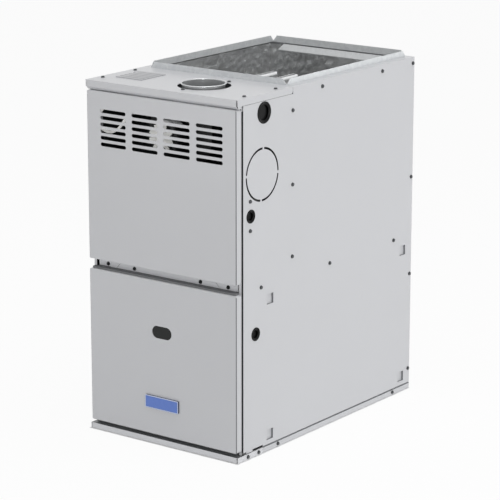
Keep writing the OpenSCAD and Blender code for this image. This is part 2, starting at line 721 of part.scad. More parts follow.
module burners() color("#a8abad") place() for (x = cell_x)
    translate([x, room_d - 6, burner_z]) rotate([90, 0, 0]) rotate_extrude() polygon([
        [11, 0], [15, 0], [15, 20.7], [14, 20.7], [14, 23], [13, 30], [10.4, 52], [11, 66],
        [17, 82], [17, 84], [15.6, 84], [9.6, 66], [9, 52], [11.4, 30]]);

module gas_manifold() color("#4b4e50") place() difference() {
    union() {
        rod_x([valve_x + 24, box_x - 8], manifold_y, burner_z, manifold_r);
        rod_x([box_x - 8, box_x - 2], manifold_y, burner_z, manifold_r + 2.5);
        both() block([box_x - 4, box_x], [manifold_y, box_y], [burner_z - 9, burner_z + 9]);
    }
    rod_x([valve_x, box_x - 12], manifold_y, burner_z, manifold_r - 2.4);
    for (x = cell_x) rod_y(x, [manifold_y, box_y], burner_z, 3.6);
}

module gas_orifices() color("#c79a4a") place() for (x = cell_x)
    translate([x, manifold_y + manifold_r - 0.4, burner_z]) rotate([-90, 0, 0]) difference() {
        union() {
            translate([0, 0, 0.9]) cylinder(d = 11, h = 6, $fn = 6);
            cylinder(r = 3.4, h = 2);
            cylinder(r = 3.6, h = 10);
            translate([0, 0, -2]) cylinder(r = 3.4, h = 3);
        }
        translate([0, 0, -3]) cylinder(r = 1, h = 20);
    }

// gas valve: cast body with its inlet to the left, the outlet to the manifold and a control head in front
module gas_valve() color("#8d9092") place() difference() {
    y0 = manifold_y - 28;
    y1 = manifold_y + 26;
    union() {
        block([valve_x - 26, valve_x + 22], [y0, y1], [burner_z - 26, burner_z + 24]);
        rod_z(valve_x - 2, manifold_y, [burner_z - 34, burner_z + 38], 20);
        rod_z(valve_x - 2, manifold_y, [burner_z + 38, burner_z + 45], 13);
        rod_x([valve_x0, valve_x - 20], manifold_y, burner_z, 15);
        rod_x([valve_x + 20, valve_x + 30], manifold_y, burner_z, 15);
        block([valve_x - 22, valve_x + 18], [y0 - 14, y0], [burner_z - 20, burner_z + 20]);
        rod_z(valve_x - 2, manifold_y - 2, [burner_z - 40, burner_z - 30], 9);
    }
    rod_x([valve_x0 - 1, valve_x0 + inlet_bore_l], manifold_y, burner_z, inlet_bore_r);
    rod_x([valve_x + 10, valve_x + 31], manifold_y, burner_z, manifold_r + 0.1);
    rod_y(valve_x - 2, [y0 - 15, y0 - 4], burner_z + 2, 3 + run);
}
module gas_valve_knob() color("#b7312b") place() translate([valve_x - 2, manifold_y - 42, burner_z + 2])
    rotate([90, 0, 0]) {
        translate([0, 0, gap]) cylinder(r = 13, h = 5);
        translate([-11, -2.2, gap]) cube([22, 4.4, 12]);
        translate([0, 0, -9]) cylinder(r = 3, h = 10);
    }

module igniter() color("#e9e4d8") place() {
    y = room_d - 13;
    block([box_x, box_x + 26], [y - 8, y + 8], [burner_z - 12, burner_z + 12]);
    rod_x([box_x - 20, box_x + 1], y, burner_z, 2.6);
}
module flame_sensor() color("#e9e4d8") place() {
    y = room_d - 13;
    rod_x([-box_x - 22, -box_x], y, burner_z, 6);
    rod_x([-box_x - 1, -box_x + 20], y, burner_z, 1.8);
    block([-box_x - 1.2, -box_x], [y - 8, y + 8], [burner_z - 9, burner_z + 9]);
}

button_r = 2.6;
button_travel = 1.5;
module rollout_switches() color("#2f3133") place() both() difference() {
    union() {
        rod_z(box_x / 2, room_d - 60, [box_z1, box_z1 + 11], 9);
        block([box_x / 2 - 15, box_x / 2 + 15], [room_d - 66, room_d - 54], [box_z1, box_z1 + 1]);
        for (s = [-1, 1]) block([box_x / 2 + s * 6 - 2.4, box_x / 2 + s * 6 + 2.4],
            [room_d - 56, room_d - 45], [box_z1 + 6, box_z1 + 6.8]);
    }
    rod_z(box_x / 2, room_d - 60, [box_z1 + 4, box_z1 + 12], button_r + 0.15);
}
module reset_button(s) color("#c7382f") place()
    rod_z(s * box_x / 2, room_d - 60, [box_z1 + 4 + button_travel + gap, box_z1 + 14], button_r);
module reset_button_left() reset_button(-1);
module reset_button_right() reset_button(1);

limit_x = 152;
module limit_switch() color("#3a3c3e") place() {
    z = deck_z + 190;
    block([limit_x - 24, limit_x + 24], [room_d - 2, room_d], [z - 13, z + 13]);
    rod_y(limit_x, [room_d - 22, room_d - 2], z, 10);
    for (s = [-5, 5])
        block([limit_x + s - 2, limit_x + s + 2], [room_d - 29, room_d - 22], [z - 0.4, z + 0.4]);
}

// pressure switch: two dished halves on a bracket at the left wall
ps_y = 150;
ps_z = cab_h - 70;
ps_port = [sheet - wall_x + 25, ps_y - 40, ps_z];
module pressure_switch() color("#d9d9d5") place() {
    x = sheet - wall_x;
    translate([x, ps_y, ps_z]) rotate([0, 90, 0]) rotate_extrude() polygon([
        [0, 4], [24, 4], [30, 9], [36, 12], [36, 18], [30, 21], [14, 26], [14, 30], [0, 30]]);
    block([-wall_x, x + 5], [ps_y - 12, ps_y + 12], [ps_z - 22, ps_z + 22]);
    rod_y(ps_port[0], [ps_port[1], ps_y - 20], ps_z, 2.6);
}

// pressure hose: a bent tube, from the switch down the wall, in a bow behind the louvres and to the housing
hose_r = 3.2;
hose_sides = 10;
hose_pts = concat(
    [for (d = [[0, -gap, 0], [-0.4, -11, 0.4], [-2.6, -26, 2], [-7, -43, 1.6]]) ps_port + d],
    [for (d = [[12.8, 49, 73], [8.2, 38.8, 84], [6.6, 34.8, 98], [8, 36, 112], [14, 40, 121.9],
        [21.3, 41, 125.6], [29.7, 42, 127.8], [39.6, 43, 127.6], [48, 44, 124.8], [59.4, 45.5, 117.6],
        [67.5, 47, 108.6], [75.6, 48.5, 96.8], [81.8, 51.4, 86.4], [85.4, 56.5, 78.4]])
        [d[0] - wall_x, d[1], cab_h - d[2]]],
    [for (d = [[30, 43, -8.6], [22.5, 31, -11.6], [15.5, 18, -10.2], [10.4, 6, -4.4], [5.6, 0.4, -0.4],
        [gap, 0, 0]]) hose_port - d]);
function unit(v) = v / norm(v);
function hose_way(i) = let (n = len(hose_pts)) unit(hose_pts[min(i + 1, n - 1)] - hose_pts[max(i - 1, 0)]);
module tube_along(pts, r, sides) {
    n = len(pts);
    ring = [for (i = [0:n - 1]) let (w = hose_way(i), u = unit(cross(w, [0.2, 0.1, -1])), v = cross(w, u))
        for (k = [0:sides - 1]) pts[i] + r * (cos(k * 360 / sides) * u + sin(k * 360 / sides) * v)];
    walls = [for (i = [0:n - 2]) for (k = [0:sides - 1]) let (a = i * sides, b = (k + 1) % sides)
        each [[a + k, a + sides + b, a + b], [a + k, a + sides + k, a + sides + b]]];
    ends = [[for (k = [0:sides - 1]) k], [for (k = [sides - 1:-1:0]) (n - 1) * sides + k]];
    polyhedron(ring, concat(walls, ends));
}
module pressure_hose() color("#e4e2dc") place() tube_along(hose_pts, hose_r, hose_sides);

// ---------- blower ----------
module blower_scroll() color(galvanised) place() translate([0, blower_y, blower_z]) {
    top = deck_under - blower_z;
    difference() {
        along_x([-scroll_x, scroll_x]) polygon(spiral_points(scroll_r0, scroll_r1, scroll_cut, sheet, top));
        along_x([-scroll_x - 1, scroll_x + 1])
            polygon(spiral_points(scroll_r0, scroll_r1, scroll_cut, 0, top + 5));
    }
}
blade_w = 19;
inlet_r = wheel_r - blade_w;
side_rim = 7;
module blower_side() {
    top = deck_under - blower_z;
    difference() {
        union() {
            translate([0, blower_y, blower_z]) along_x([scroll_x, scroll_x + sheet])
                polygon(spiral_points(scroll_r0, scroll_r1, scroll_cut, side_rim, top));
            block([scroll_x, scroll_x + 13], [blower_y + 30, out_y + side_rim],
                [deck_under - 15, deck_under - 15 + sheet]);
        }
        rod_x([scroll_x - 1, scroll_x + sheet + 1], blower_y, blower_z, inlet_r + 8);
    }
    translate([scroll_x + sheet, blower_y, blower_z]) rotate([0, 90, 0]) rotate_extrude()
        translate([inlet_r + 8, -8 - sheet]) difference() {
            circle(8 + sheet);
            circle(8);
            translate([0, -20]) square([20, 40]);
            translate([-20, 8 + sheet]) square([40, 20]);
            translate([-20, -20]) square([40, 20]);
        }
}
module blower_sides() color(galvanised) place() both() blower_side();

module blower_rails() color(galvanised) place() both() {
    x = scroll_x + 15;
    block([x, x + sheet], [blower_y - 80, out_y + 30], [deck_under - 15 - sheet, deck_under]);
    block([x - 7, x + sheet], [blower_y - 80, out_y + 30], [deck_under - 15 - sheet, deck_under - 15]);
    block([x, x + 10], [blower_y - 80, out_y + 30], [deck_under - sheet, deck_under]);
}

// blower wheel: two rings and a middle disc with its hub, held together by forward curved blades
ring_t = 3;
disc_r = wheel_r - blade_w / 2;
disc_t = 2;
module wheel_disc() translate([0, 0, -disc_t / 2]) cylinder(r = disc_r, h = disc_t);
module blower_wheel() color("#a3a6a8") place() translate([0, blower_y, blower_z]) rotate([0, 90, 0]) {
    for (z = [-wheel_w / 2, wheel_w / 2 - ring_t]) translate([0, 0, z]) difference() {
        cylinder(r = wheel_r, h = ring_t);
        translate([0, 0, -1]) cylinder(r = wheel_r - blade_w, h = ring_t + 2);
    }
    difference() {
        union() {
            wheel_disc();
            translate([0, 0, -18]) cylinder(r = 20, h = 26);
        }
        translate([0, 0, -wheel_w]) cylinder(r = shaft_r, h = 2 * wheel_w);
    }
}
// each blade is an arc of the same radius, notched onto the disc
blade_arc = 15;
blade_t = 1;
module blade() polygon(concat(
    [for (a = [-40:20:40]) [disc_r + blade_arc * sin(a) * 0.95, -blade_arc * cos(a) + 12]],
    [for (a = [40:-20:-40]) [disc_r + blade_arc * sin(a) * 0.95, -blade_arc * cos(a) + 12 - blade_t]]));
module blower_blades() color("#a3a6a8") place() translate([0, blower_y, blower_z]) rotate([0, 90, 0])
    for (i = [0:blade_n - 1]) rotate(i * 360 / blade_n) difference() {
        translate([0, 0, ring_t - wheel_w / 2]) linear_extrude(wheel_w - 2 * ring_t) blade();
        wheel_disc();
    }
module blower_shaft() color("#c9cbcd") place() rod_x([-24, wheel_w / 2 + 44], blower_y, blower_z, shaft_r);
module blower_motor() color("#6f7375") place() difference() {
    union() {
        rod_x([24, wheel_w / 2 + 28], blower_y, blower_z, motor_r);
        rod_x([18, wheel_w / 2 + 34], blower_y, blower_z, 26);
    }
    rod_x([0, wheel_w], blower_y, blower_z, shaft_r + run);
}
module motor_mount() color("#595d5f") place() {
    x0 = scroll_x + sheet;
    difference() {
        union() {
            rod_x([x0 - 12, x0 + 12], blower_y, blower_z, motor_r + 2);
            for (a = [30, 150, 270]) translate([0, blower_y, blower_z]) rotate([a, 0, 0])
                block([x0, x0 + 3], [motor_r, inlet_r + 22], [-9, 9]);
        }
        rod_x([0, x0 + 20], blower_y, blower_z, motor_r);
    }
}

// ---------- controls ----------
board_y = 92;
board_x = [-150, 40];
board_drop = 128;
board_lift = 6.4;
module control_board() color("#2f6b4b") place() {
    z1 = deck_under;
    y0 = board_y - board_lift;
    face = y0 - 1.6;
    block(board_x, [board_y, board_y + sheet], [z1 - board_drop, z1]);
    block(board_x, [board_y, board_y + 14], [z1 - sheet, z1]);
    block([board_x[0] + 8, board_x[1] - 8], [face, y0], [z1 - board_drop + 6, z1 - 8]);
    for (x = [board_x[0] + 12, board_x[1] - 12]) for (z = [z1 - board_drop + 10, z1 - 12])
        rod_y(x, [y0, board_y], z, 3);
    for (i = [0:3])
        block([18 + i * 26, 38 + i * 26] + [1, 1] * board_x[0], [face - 16, face], [z1 - 48, z1 - 20]);
    block([14, 80] + [1, 1] * board_x[0], [face - 10, face], [z1 - 116, z1 - 100]);
    rod_y(board_x[1] - 30, [face - 18, face], z1 - 90, 8);
    block([-96, -56] + [1, 1] * board_x[1], [face - 6, face], [z1 - 114, z1 - 78]);
}

// transformer: laminated core, coil and foot, hung under the deck
tr_at = [101, board_y + 21];
tr_core = [62, 50, 48];
tr_coil = [34, 70, 32];
tr_foot = [86, 22, 2];
module transformer() color("#4a4c4e") place() translate([tr_at[0], tr_at[1], deck_under - tr_foot[2]]) {
    translate([-tr_core[0] / 2, -tr_core[1] / 2, -tr_core[2]]) cube(tr_core);
    translate([-tr_coil[0] / 2, -tr_coil[1] / 2, -(tr_core[2] + tr_coil[2]) / 2]) cube(tr_coil);
    translate([-tr_foot[0] / 2, -tr_foot[1] / 2, 0]) cube(tr_foot);
}

// junction box inside the right wall, held by the two side screws above and below its plug
jbox_y = channel_face + 10;
jbox_l = 60;
jbox_w = 52;
module junction_box() color(galvanised) place() {
    p = small_plug_at[0];
    x1 = channel_out - sheet - gap;
    x0 = x1 - jbox_w;
    y1 = jbox_y + jbox_l;
    z = [cab_h - box_screw_drop[1] - 10, cab_h - box_screw_drop[0] + 10];
    difference() {
        block([x0, x1], [jbox_y, y1], z);
        block([x0 + sheet, x1 - sheet], [jbox_y + sheet, y1 - sheet], [z[0] + sheet, z[1] - sheet]);
        rod_x([x1 - 3, x1 + 1], p[0], p[1], plug_small_d / 2 - 2);
        side_screw_holes();
    }
}

// run capacitor, strapped to the scroll's left side plate
module capacitor() color("#9fa3a5") place() {
    y = blower_y - inlet_r - 5;
    z = blower_z + 78;
    x = -scroll_x - sheet;
    rod_z(x - 26, y, [z - 40, z + 34], 22);
    block([x - 27, x], [y - 4, y + 4], [z - 8, z + 8]);
    for (s = [-1, 1]) block([x - 26 + s * 8 - 3, x - 26 + s * 8 + 3], [y - 0.4, y + 0.4], [z + 34, z + 42]);
}

switch_x = 120;
module door_switch() color(dark) place() {
    y = tuck_d + 12;
    z = lower_z1 - 9;
    difference() {
        block([switch_x - 16, switch_x + 16], [y, y + 24], [z - 8, z + 8]);
        block([switch_x - 4.3, switch_x + 4.3], [y - 1, y + 15], [z - 4.3, z + 4.3]);
    }
    block([switch_x - 16, switch_x + 16], [y + 4, y + 5.2], [z + 8, deck_under]);
}
plunger_travel = 2.5;
module door_switch_plunger() color("#d6d6d2") place() {
    z = lower_z1 - 9;
    block([switch_x - 4, switch_x + 4], [tuck_d + gap, tuck_d + 23], [z - 4, z + 4]);
}

// ---------- doors ----------
// a pan's outside shape between z0 and z1; s insets every face but the open back
module pan_form(w, z0, z1, t, s) {
    r = max(door_bend - s, 0.2);
    c = max(door_corner - s, 0.5);
    intersection() {
        translate([0, 0, z0 + s]) linear_extrude(z1 - z0 - 2 * s) {
            translate([s - w / 2, s + r]) square([w - 2 * s, t - s - r + (s > 0 ? 1 : 0)]);
            translate([s - w / 2 + r, s]) square([w - 2 * s - 2 * r, t - s]);
            for (x = [s - w / 2 + r, w / 2 - s - r]) translate([x, s + r]) circle(r);
        }
        along_x([-w / 2, w / 2]) {
            translate([s + r, z0 + s]) square([t - s - r + (s > 0 ? 1 : 0), z1 - z0 - 2 * s]);
            translate([s, z0 + s + r]) square([t - s, z1 - z0 - 2 * s - 2 * r]);
            for (z = [z0 + s + r, z1 - s - r]) translate([s + r, z]) circle(r);
        }
        along_y([0, t + 1]) rounded([s - w / 2, z0 + s], [w / 2 - s, z1 - s], c);
    }
}
module door_pan(z0, z1) {
    difference() {
        pan_form(door_w, z0, z1, door_t, 0);
        pan_form(door_w, z0, z1, door_t, sheet);
    }
    along_y([door_t - sheet, door_t]) difference() {
        rounded([0.5 - door_w / 2, z0 + 0.5], [door_w / 2 - 0.5, z1 - 0.5], door_corner - 0.5);
        translate([11 - door_w / 2, z0 + 11]) square([door_w - 22, z1 - z0 - 22]);
    }
}
module upper_door() color(paint) place() difference() {
    door_pan(upper_z0, upper_z1);
    for (i = [0:3]) for (j = [0:slot_rows - 1])
        translate([(i - 1.5) * slot_column + 1.5, 0, cab_h - slot_drop - j * slot_pitch])
            along_y([-1, sheet + 1]) stadium(slot_l, slot_w);
}
module lower_door() color(paint) place() difference() {
    union() {
        door_pan(lower_z0, lower_z1);
        block([-tuck_x, tuck_x], [door_t - sheet, tuck_d], [lower_z1 - sheet, lower_z1]);
        block([-tuck_x, tuck_x], [tuck_d - sheet, tuck_d], [lower_z1 - 18, lower_z1]);
    }
    translate([0, 0, sight_z]) along_y([-1, sheet + 1]) stadium(sight_w, sight_h);
}
// foam strip on the lower door's top: wide on the pan's edge, narrower on the flange under the mid rail
module door_seal() color("#3a3b3c") place() {
    z = [lower_z1, rail_z0 - gap];
    block([door_corner - door_w / 2, door_w / 2 - door_corner], [2 * door_bend, door_t - sheet], z);
    block([sheet - tuck_x, tuck_x - sheet], [door_t - 2 * sheet, tuck_d - sheet], z);
}
module sight_glass() color(dark) place() translate([0, 0, sight_z]) {
    along_y([sheet, sheet + 3]) stadium(sight_w + 8, sight_h + 8);
    along_y([0.6, sheet + 1]) stadium(sight_w - 2 * gap, sight_h - 2 * gap);
}
module badge() color("#5273c6") place() translate([0, 0, badge_z]) difference() {
    along_y([-badge_proud, 0]) rounded([-badge_w / 2, -badge_h / 2], [badge_w / 2, badge_h / 2], 4);
    along_y([-badge_proud - 1, -badge_proud + 0.6])
        rounded([2.4 - badge_w / 2, 2.4 - badge_h / 2], [badge_w / 2 - 2.4, badge_h / 2 - 2.4], 2.4);
}

// ---------- plugs and fasteners ----------
module plug(d, hole) rotate([0, 90, 0]) rotate_extrude() polygon([
    [0, -5], [hole - 3, -5], [hole - 3, -1], [d / 2 - 1.2, 1.6], [d / 2, 1], [d / 2, 0], [hole - gap, 0],
    [hole - gap, -6.5], [0, -6.5]]);
module side_plugs() color("#141415") place() both() {
    translate([half_w, plug_at[0], plug_at[1]]) plug(plug_d, plug_d / 2 - 4);
    for (p = small_plug_at) translate([half_w, p[0], p[1]]) plug(plug_small_d, plug_small_d / 2 - 3);
}
module screws() color("#77797b") place() {
    both() for (s = side_screws) translate([half_w, s[0], s[1]]) rotate([0, 90, 0]) hex_screw();
    both() for (y = top_screw_y) translate([half_w - 15, y, cab_h]) hex_screw();
    for (a = flue_screw_a)
        translate([flue_x + flue_screw_r * cos(a), flue_y + flue_screw_r * sin(a), cab_h]) hex_screw();
    for (x = rail_screw_x) translate([x, rail_y, rail_screw_z]) rotate([90, 0, 0]) hex_screw();
}

side_panel_left();
side_panel_right();
back_panel();
top_plate();
duct_flange_front();
duct_flange_back();
duct_flange_left();
duct_flange_right();
door_channel_left();
door_channel_right();
mid_rail();
base_rail();
base_pan();
blower_deck();
vestibule_panel();
foil_liner();
rear_baffle();
heat_cells();
collector_box();
inducer_housing();
inducer_motor();
inducer_wheel();
inducer_shaft();
inducer_fan();
flue_collar();
burner_box();
burners();
gas_manifold();
gas_orifices();
gas_valve();
gas_valve_knob();
igniter();
flame_sensor();
rollout_switches();
reset_button_left();
reset_button_right();
limit_switch();
pressure_switch();
pressure_hose();
blower_scroll();
blower_sides();
blower_rails();
blower_wheel();
blower_blades();
blower_shaft();
blower_motor();
motor_mount();
control_board();
transformer();
junction_box();
door_switch();
door_switch_plunger();
capacitor();
upper_door();
lower_door();
door_seal();
sight_glass();
badge();
side_plugs();
screws();
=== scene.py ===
import math

import bpy
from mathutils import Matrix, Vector


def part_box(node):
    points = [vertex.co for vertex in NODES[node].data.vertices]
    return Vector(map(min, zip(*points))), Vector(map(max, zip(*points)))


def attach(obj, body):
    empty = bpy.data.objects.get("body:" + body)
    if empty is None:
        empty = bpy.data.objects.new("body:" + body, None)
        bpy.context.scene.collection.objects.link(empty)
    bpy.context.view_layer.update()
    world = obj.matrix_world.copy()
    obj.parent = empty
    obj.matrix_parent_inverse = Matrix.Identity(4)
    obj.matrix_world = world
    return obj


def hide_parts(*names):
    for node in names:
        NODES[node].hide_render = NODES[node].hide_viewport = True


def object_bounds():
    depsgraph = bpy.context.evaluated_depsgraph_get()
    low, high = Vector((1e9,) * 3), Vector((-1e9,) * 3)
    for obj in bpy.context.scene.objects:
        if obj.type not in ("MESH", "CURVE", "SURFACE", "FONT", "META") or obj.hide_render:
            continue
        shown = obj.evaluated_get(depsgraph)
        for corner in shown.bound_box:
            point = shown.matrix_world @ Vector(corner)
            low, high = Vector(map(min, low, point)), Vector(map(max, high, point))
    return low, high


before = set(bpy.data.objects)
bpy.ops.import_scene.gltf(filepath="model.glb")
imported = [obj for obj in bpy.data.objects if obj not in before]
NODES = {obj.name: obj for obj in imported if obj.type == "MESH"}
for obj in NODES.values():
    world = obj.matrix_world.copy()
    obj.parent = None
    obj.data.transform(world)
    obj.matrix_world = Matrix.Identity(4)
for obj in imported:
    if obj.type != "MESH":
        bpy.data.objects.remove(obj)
cad_box = [Vector(corner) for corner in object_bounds()]
MM = 0.001


# ---------- camera: the photograph's long lens, from the right and a little above ----------
def aim_camera():
    azimuth, elevation = math.radians(36.73), math.radians(14.40)
    toward = Vector((-math.sin(azimuth) * math.cos(elevation),
                     math.cos(azimuth) * math.cos(elevation),
                     -math.sin(elevation)))
    lens = bpy.data.cameras.new("camera")
    lens.lens = 167.41
    lens.sensor_width = 36.0
    lens.clip_end = 200.0
    camera = bpy.data.objects.new("camera", lens)
    camera.location = (3.2894, -4.4239, 1.8189)
    camera.rotation_euler = toward.to_track_quat("-Z", "Y").to_euler()
    bpy.context.scene.collection.objects.link(camera)
    bpy.context.scene.camera = camera


aim_camera()
bpy.context.scene.view_settings.view_transform = "Standard"


# ---------- materials ----------
def colour(hex_value):
    """sRGB hex to linear RGBA."""
    parts = [int(hex_value[i:i + 2], 16) / 255 for i in (1, 3, 5)]
    return [c / 12.92 if c <= 0.04045 else ((c + 0.055) / 1.055) ** 2.4 for c in parts] + [1.0]


def add(tree, kind, inputs=None, **settings):
    """Adds a node; inputs gives each socket, by name or number, a value or another node's output."""
    node = tree.nodes.new(kind)
    for name, value in settings.items():
        setattr(node, name, value)
    for socket, value in (inputs or {}).items():
        if isinstance(value, bpy.types.NodeSocket):
            tree.links.new(value, node.inputs[socket])
        else:
            node.inputs[socket].default_value = value
    return node


def new_finish(name, shader=None):
    material = bpy.data.materials.new(name)
    material.use_nodes = True
    tree = material.node_tree
    bsdf = tree.nodes["Principled BSDF"]
    for socket, value in (shader or {}).items():
        bsdf.inputs[socket].default_value = value
    place = add(tree, "ShaderNodeTexCoord").outputs["Object"]
    return material, tree, bsdf, place


def blend_colours(tree, factor, first, second):
    return add(tree, "ShaderNodeMix", {0: factor, 6: first, 7: second}, data_type="RGBA").outputs[2]


def noise(tree, place, size_mm, detail=2.0, roughness=0.5):
    """Noise with features about size_mm across."""
    return add(tree, "ShaderNodeTexNoise", {"Vector": place, "Scale": 1000.0 / size_mm, "Detail": detail,
                                            "Roughness": roughness}).outputs["Fac"]


def roughness_range(tree, bsdf, factor, low, high):
    spread = add(tree, "ShaderNodeMapRange", {"Value": factor, "To Min": low, "To Max": high})
    tree.links.new(spread.outputs["Result"], bsdf.inputs["Roughness"])


def bump_from(tree, bsdf, height, strength, depth):
    bump = add(tree, "ShaderNodeBump", {"Height": height, "Strength": strength, "Distance": depth})
    tree.links.new(bump.outputs["Normal"], bsdf.inputs["Normal"])


def within(tree, place, low, high):
    """1 inside the box from low to high, 0 outside it."""
    axes = add(tree, "ShaderNodeSeparateXYZ", {"Vector": place})
    inside = 1.0
    for axis, a, b in zip("XYZ", low, high):
        offset = add(tree, "ShaderNodeMath", {0: axes.outputs[axis], 1: (a + b) / 2}, operation="SUBTRACT")
        size = add(tree, "ShaderNodeMath", {0: offset.outputs["Value"]}, operation="ABSOLUTE")
        under = add(tree, "ShaderNodeMath", {0: size.outputs["Value"], 1: (b - a) / 2}, operation="LESS_THAN")
        inside = add(tree, "ShaderNodeMath", {0: under.outputs["Value"], 1: inside},
                     operation="MULTIPLY").outputs["Value"]
    return inside


PRIMER = "#252627"


def cabinet_enamel(name, tint, patches=()):
    """Baked polyester enamel on sheet steel: smooth, half gloss, with a faint orange peel of 3 mm.
    Each patch is a box and the darker tint of the coat inside it: bare primer in the burner room, and
    painted shade on the dark lines of tight bends, seams and deep corners."""
    material, tree, bsdf, place = new_finish(name, {"IOR": 1.5})
    peel = noise(tree, place, 3.0)
    drift = noise(tree, place, 170.0)
    shade = blend_colours(tree, drift, colour(tint[0]), colour(tint[1]))
    for low, high, primer_and_shade_tint in patches:
        shade = blend_colours(tree, within(tree, place, low, high), shade, colour(primer_and_shade_tint))
    tree.links.new(shade, bsdf.inputs["Base Color"])
    roughness_range(tree, bsdf, peel, 0.27, 0.33)
    bump_from(tree, bsdf, peel, 0.04, 0.0003)
    return material


def galvanised_sheet(name, tint, metallic=0.75):
    """Hot dipped zinc on steel: dull silver with a spangle of crystals about 9 mm across."""
    material, tree, bsdf, place = new_finish(name, {"Metallic": metallic})
    spangle = add(tree, "ShaderNodeTexVoronoi", {"Vector": place, "Scale": 110.0})
    grey = add(tree, "ShaderNodeRGBToBW", {"Color": spangle.outputs["Color"]}).outputs["Val"]
    grain = noise(tree, place, 2.0, 3.0)
    shade = blend_colours(tree, grey, colour(tint[0]), colour(tint[1]))
    tree.links.new(shade, bsdf.inputs["Base Color"])
    roughness_range(tree, bsdf, grain, 0.36, 0.5)
    bump_from(tree, bsdf, grain, 0.02, 0.0002)
    return material


def aluminised_steel(name, tint, low, high):
    """Aluminium and silicon coat on pressed steel: pale satin metal with soft rolling streaks."""
    material, tree, bsdf, place = new_finish(name, {"Metallic": 0.85})
    stretch = add(tree, "ShaderNodeMapping", {"Vector": place, "Scale": (1.0, 0.12, 1.0)})
    streaks = noise(tree, stretch.outputs["Vector"], 5.5, 4.0)
    shade = blend_colours(tree, streaks, colour(tint[0]), colour(tint[1]))
    tree.links.new(shade, bsdf.inputs["Base Color"])
    roughness_range(tree, bsdf, streaks, low, high)
    bump_from(tree, bsdf, streaks, 0.05, 0.0003)
    return material


def foil_faced_glass_fibre():
    """Foil bonded to glass fibre: dull silver, with slanting streaks of 6 mm over the creases of the mesh."""
    material, tree, bsdf, place = new_finish("foil_faced_glass_fibre", {"Metallic": 0.85})
    slant = add(tree, "ShaderNodeMapping", {"Vector": place, "Rotation": (0.6, 0.6, 0.0),
                                            "Scale": (1.0, 0.3, 0.5)})
    crackle = noise(tree, slant.outputs["Vector"], 6.0, 4.0, 0.6)
    folds = noise(tree, place, 40.0, 3.0)
    shade = blend_colours(tree, folds, colour("#c0c1c2"), colour("#dadbdb"))
    tree.links.new(shade, bsdf.inputs["Base Color"])
    roughness_range(tree, bsdf, crackle, 0.24, 0.4)
    bump_from(tree, bsdf, crackle, 0.6, 0.0015)
    return material


def collar_steel():
    """Drawn aluminised collar: thin bright rim, and a brushed inside painted darker further down, as painted
    shade in the tube.
    """
    material, tree, bsdf, place = new_finish("aluminised_collar", {"Metallic": 0.6})
    low, high = (Vector(corner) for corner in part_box("flue_collar"))
    streaks = noise(tree, place, 4.0, 3.0)
    height = add(tree, "ShaderNodeSeparateXYZ", {"Vector": place}).outputs["Z"]
    # The inside is painted darker further down: painted shade in the tube.
    depth_shade = add(tree, "ShaderNodeMapRange", {"Value": height, "From Min": high.z - 30 * MM,
                                            "From Max": high.z - 4.0 * MM}).outputs["Result"]
    rim = add(tree, "ShaderNodeMapRange", {"Value": height, "From Min": high.z - 1.4 * MM,
                                           "From Max": high.z - 0.8 * MM}).outputs["Result"]
    shade = blend_colours(tree, depth_shade, colour("#a2a4a6"), colour("#dcdedf"))
    bright = blend_colours(tree, streaks, colour("#c6c8ca"), colour("#d8dadb"))
    tree.links.new(blend_colours(tree, rim, shade, bright), bsdf.inputs["Base Color"])
    roughness_range(tree, bsdf, streaks, 0.18, 0.3)
    return material


def moulded_plastic(name, tint, low, high, shine=0.5, glow=0.0):
    """Injection moulded plastic with a fine spark-eroded grain of about 1 mm. The glow is painted light:
    it makes a pale part show bright in the dark burner room, though it is no lamp."""
    material, tree, bsdf, place = new_finish(name, {"IOR": 1.49, "Specular IOR Level": shine,
                                                    "Emission Color": (1.0, 1.0, 0.98, 1.0),
                                                    "Emission Strength": glow})
    grain = noise(tree, place, 1.1)
    shade = blend_colours(tree, grain, colour(tint[0]), colour(tint[1]))
    tree.links.new(shade, bsdf.inputs["Base Color"])
    roughness_range(tree, bsdf, grain, low, high)
    bump_from(tree, bsdf, grain, 0.08, 0.0003)
    return material


def machine_metal(name, tint, low, high, metallic=1.0, grain_mm=2.0, patches=()):
    """Plain metal, turned, cast or plated, with a grain of the size given in millimetres. Each patch is
    a box in which the metal takes a near-black tint."""
    material, tree, bsdf, place = new_finish(name, {"Metallic": metallic})
    grain = noise(tree, place, grain_mm, 3.0)
    shade = blend_colours(tree, grain, colour(tint[0]), colour(tint[1]))
    for a, b, black in patches:
        shade = blend_colours(tree, within(tree, place, a, b), shade, colour(black))
    tree.links.new(shade, bsdf.inputs["Base Color"])
    roughness_range(tree, bsdf, grain, low, high)
    bump_from(tree, bsdf, grain, 0.1, 0.0003)
    return material


def dark_enamel(name, tint, low, high, patches=()):
    """Dark baked enamel on motors, pipes and cores, with a slight dusty bloom. Each patch is a box painted
    in a pale tint: a painted highlight."""
    material, tree, bsdf, place = new_finish(name, {"IOR": 1.5})
    dust = noise(tree, place, 22.0, 5.0)
    shade = blend_colours(tree, dust, colour(tint[0]), colour(tint[1]))
    for a, b, bright in patches:
        shade = blend_colours(tree, within(tree, place, a, b), shade, colour(bright))
    tree.links.new(shade, bsdf.inputs["Base Color"])
    roughness_range(tree, bsdf, dust, low, high)
    bump_from(tree, bsdf, dust, 0.08, 0.0004)
    return material


